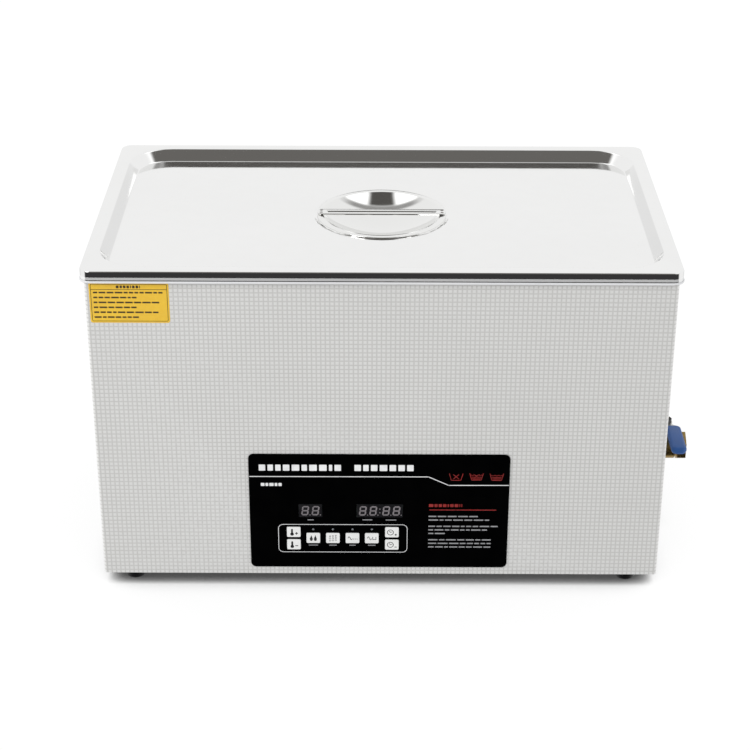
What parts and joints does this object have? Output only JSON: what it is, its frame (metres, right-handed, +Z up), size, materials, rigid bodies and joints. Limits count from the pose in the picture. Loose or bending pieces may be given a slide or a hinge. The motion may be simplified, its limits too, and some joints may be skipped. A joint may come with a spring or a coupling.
{
  "type": "ultrasonic cleaner",
  "caption": "Benchtop ultrasonic cleaner: textured steel housing, deep tank, loose pan lid with a sunken grip, membrane control panel, side drain valve and carry handles.",
  "frame": {"origin": "on the table, under the middle of the housing's footprint", "axes": "+Z up, +X to the user's right when facing the control panel, -Y towards the user (front)"},
  "size_m": [0.5785, 0.3252, 0.324],
  "materials": {
    "textured_steel": "embossed linen-texture stainless sheet",
    "lid_steel": "bright annealed stainless, near mirror",
    "tank_steel": "drawn stainless, bright",
    "grip_steel": "polished stainless pressing",
    "screw_steel": "zinc plated",
    "rubber": "black moulded rubber",
    "seal_rubber": "dark silicone",
    "panel_black": "glossy black printed membrane",
    "key_white": "white printed key",
    "display_black": "smoked display face",
    "board_green": "glass-fibre circuit board",
    "switch_plastic": "black moulded plastic",
    "lamp_red": "tinted lamp, unlit",
    "brass": "machined brass",
    "valve_seat": "white fluoropolymer",
    "ball_chrome": "polished",
    "lever_steel": "plated strip",
    "sleeve_blue": "dipped blue vinyl",
    "nut_black": "blackened steel",
    "aluminium": "machined",
    "piezo_ceramic": "lead-free piezo ceramic look",
    "heater_silicone": "red-brown silicone heating pad",
    "ferrite": "ferrite and tape",
    "capacitor_blue": "sleeved can",
    "spacer_nylon": "nylon",
    "fan_black": "moulded plastic",
    "guard_chrome": "plated wire",
    "rocker_black": "moulded plastic",
    "handle_chrome": "plated steel rod",
    "lug_steel": "plated steel"
  },
  "bodies": {
    "housing": {"front_panel": "textured_steel", "rear_panel": "textured_steel", "left_panel": "textured_steel", "right_panel": "textured_steel", "base_plate": "lug_steel", "rubber_feet": "rubber", "housing_screws": "screw_steel", "tank": "tank_steel", "control_overlay": "panel_black", "tact_switches": "switch_plastic", "status_lamps": "lamp_red", "display_modules": "display_black", "control_board": "board_green", "drain_fitting": "lever_steel", "drain_strainer": "tank_steel", "drain_elbow": "brass", "drain_pipe": "brass", "drain_locknuts": "brass", "valve_body": "brass", "valve_end": "brass", "valve_seats": "valve_seat", "valve_gland_nut": "brass", "transducer_horns": "aluminium", "piezo_rings": "piezo_ceramic", "transducer_back_masses": "screw_steel", "transducer_bolts": "nut_black", "heater_pads": "heater_silicone", "temperature_sensor": "lever_steel", "generator_board": "board_green", "generator_heatsink": "aluminium", "output_transformers": "ferrite", "board_capacitors": "capacitor_blue", "board_spacers": "spacer_nylon", "fan_frame": "fan_black", "fan_guard": "guard_chrome", "power_inlet": "switch_plastic", "switch_frame": "switch_plastic", "carry_handle_lugs": "lug_steel"},
    "lid": {"lid_panel": "lid_steel", "lid_seal": "seal_rubber", "lid_handle_cup": "grip_steel", "lid_handle_bar": "grip_steel"},
    "valve_handle": {"valve_ball": "ball_chrome", "valve_stem": "brass", "valve_lever": "lever_steel", "lever_sleeve": "sleeve_blue", "lever_nut": "nut_black"},
    "fan_wheel": {"fan_rotor": "fan_black"},
    "fuse_tray": {"fuse_drawer": "rocker_black"},
    "rocker": {"rocker_switch": "rocker_black"},
    "left_carry_handle": {"left_handle": "handle_chrome"},
    "right_carry_handle": {"right_handle": "handle_chrome"},
    "key_temperature_up_body": {"key_temperature_up": "key_white"},
    "key_temperature_down_body": {"key_temperature_down": "key_white"},
    "key_heat_body": {"key_heat": "key_white"},
    "key_degas_body": {"key_degas": "key_white"},
    "key_wave_body": {"key_wave": "key_white"},
    "key_power_body": {"key_power": "key_white"},
    "key_time_up_body": {"key_time_up": "key_white"},
    "key_time_down_body": {"key_time_down": "key_white"}
  },
  "joints": [
    {"name": "lid_lift", "type": "slide", "parent": "housing", "child": "lid", "axis": [0, 0, 1], "range_m": [0, 0.3]},
    {"name": "valve_turn", "type": "hinge", "parent": "housing", "child": "valve_handle", "pos_m": [0.2825, -0.012, 0.072], "axis": [0, 0, 1], "range_deg": [0, 90]},
    {"name": "fan_spin", "type": "hinge", "parent": "housing", "child": "fan_wheel", "pos_m": [-0.15, 0.145, 0.062], "axis": [0, 1, 0], "continuous": true},
    {"name": "fuse_tray_slide", "type": "slide", "parent": "housing", "child": "fuse_tray", "axis": [0, 1, 0], "range_m": [0, 0.016]},
    {"name": "rocker_tip", "type": "hinge", "parent": "housing", "child": "rocker", "pos_m": [0.205, 0.1585, 0.053], "axis": [1, 0, 0], "range_deg": [0, 16]},
    {"name": "left_handle_swing", "type": "hinge", "parent": "housing", "child": "left_carry_handle", "pos_m": [-0.27, 0, 0.23], "axis": [0, 1, 0], "range_deg": [0, 90]},
    {"name": "right_handle_swing", "type": "hinge", "parent": "housing", "child": "right_carry_handle", "pos_m": [0.27, 0, 0.23], "axis": [0, -1, 0], "range_deg": [0, 90]},
    {"name": "key_temperature_up_press", "type": "slide", "parent": "housing", "child": "key_temperature_up_body", "axis": [0, 1, 0], "range_m": [0, 0.0005], "stiffness_N_per_m": 800},
    {"name": "key_temperature_down_press", "type": "slide", "parent": "housing", "child": "key_temperature_down_body", "axis": [0, 1, 0], "range_m": [0, 0.0005], "stiffness_N_per_m": 800},
    {"name": "key_heat_press", "type": "slide", "parent": "housing", "child": "key_heat_body", "axis": [0, 1, 0], "range_m": [0, 0.0005], "stiffness_N_per_m": 800},
    {"name": "key_degas_press", "type": "slide", "parent": "housing", "child": "key_degas_body", "axis": [0, 1, 0], "range_m": [0, 0.0005], "stiffness_N_per_m": 800},
    {"name": "key_wave_press", "type": "slide", "parent": "housing", "child": "key_wave_body", "axis": [0, 1, 0], "range_m": [0, 0.0005], "stiffness_N_per_m": 800},
    {"name": "key_power_press", "type": "slide", "parent": "housing", "child": "key_power_body", "axis": [0, 1, 0], "range_m": [0, 0.0005], "stiffness_N_per_m": 800},
    {"name": "key_time_up_press", "type": "slide", "parent": "housing", "child": "key_time_up_body", "axis": [0, 1, 0], "range_m": [0, 0.0005], "stiffness_N_per_m": 800},
    {"name": "key_time_down_press", "type": "slide", "parent": "housing", "child": "key_time_down_body", "axis": [0, 1, 0], "range_m": [0, 0.0005], "stiffness_N_per_m": 800}
  ]
}
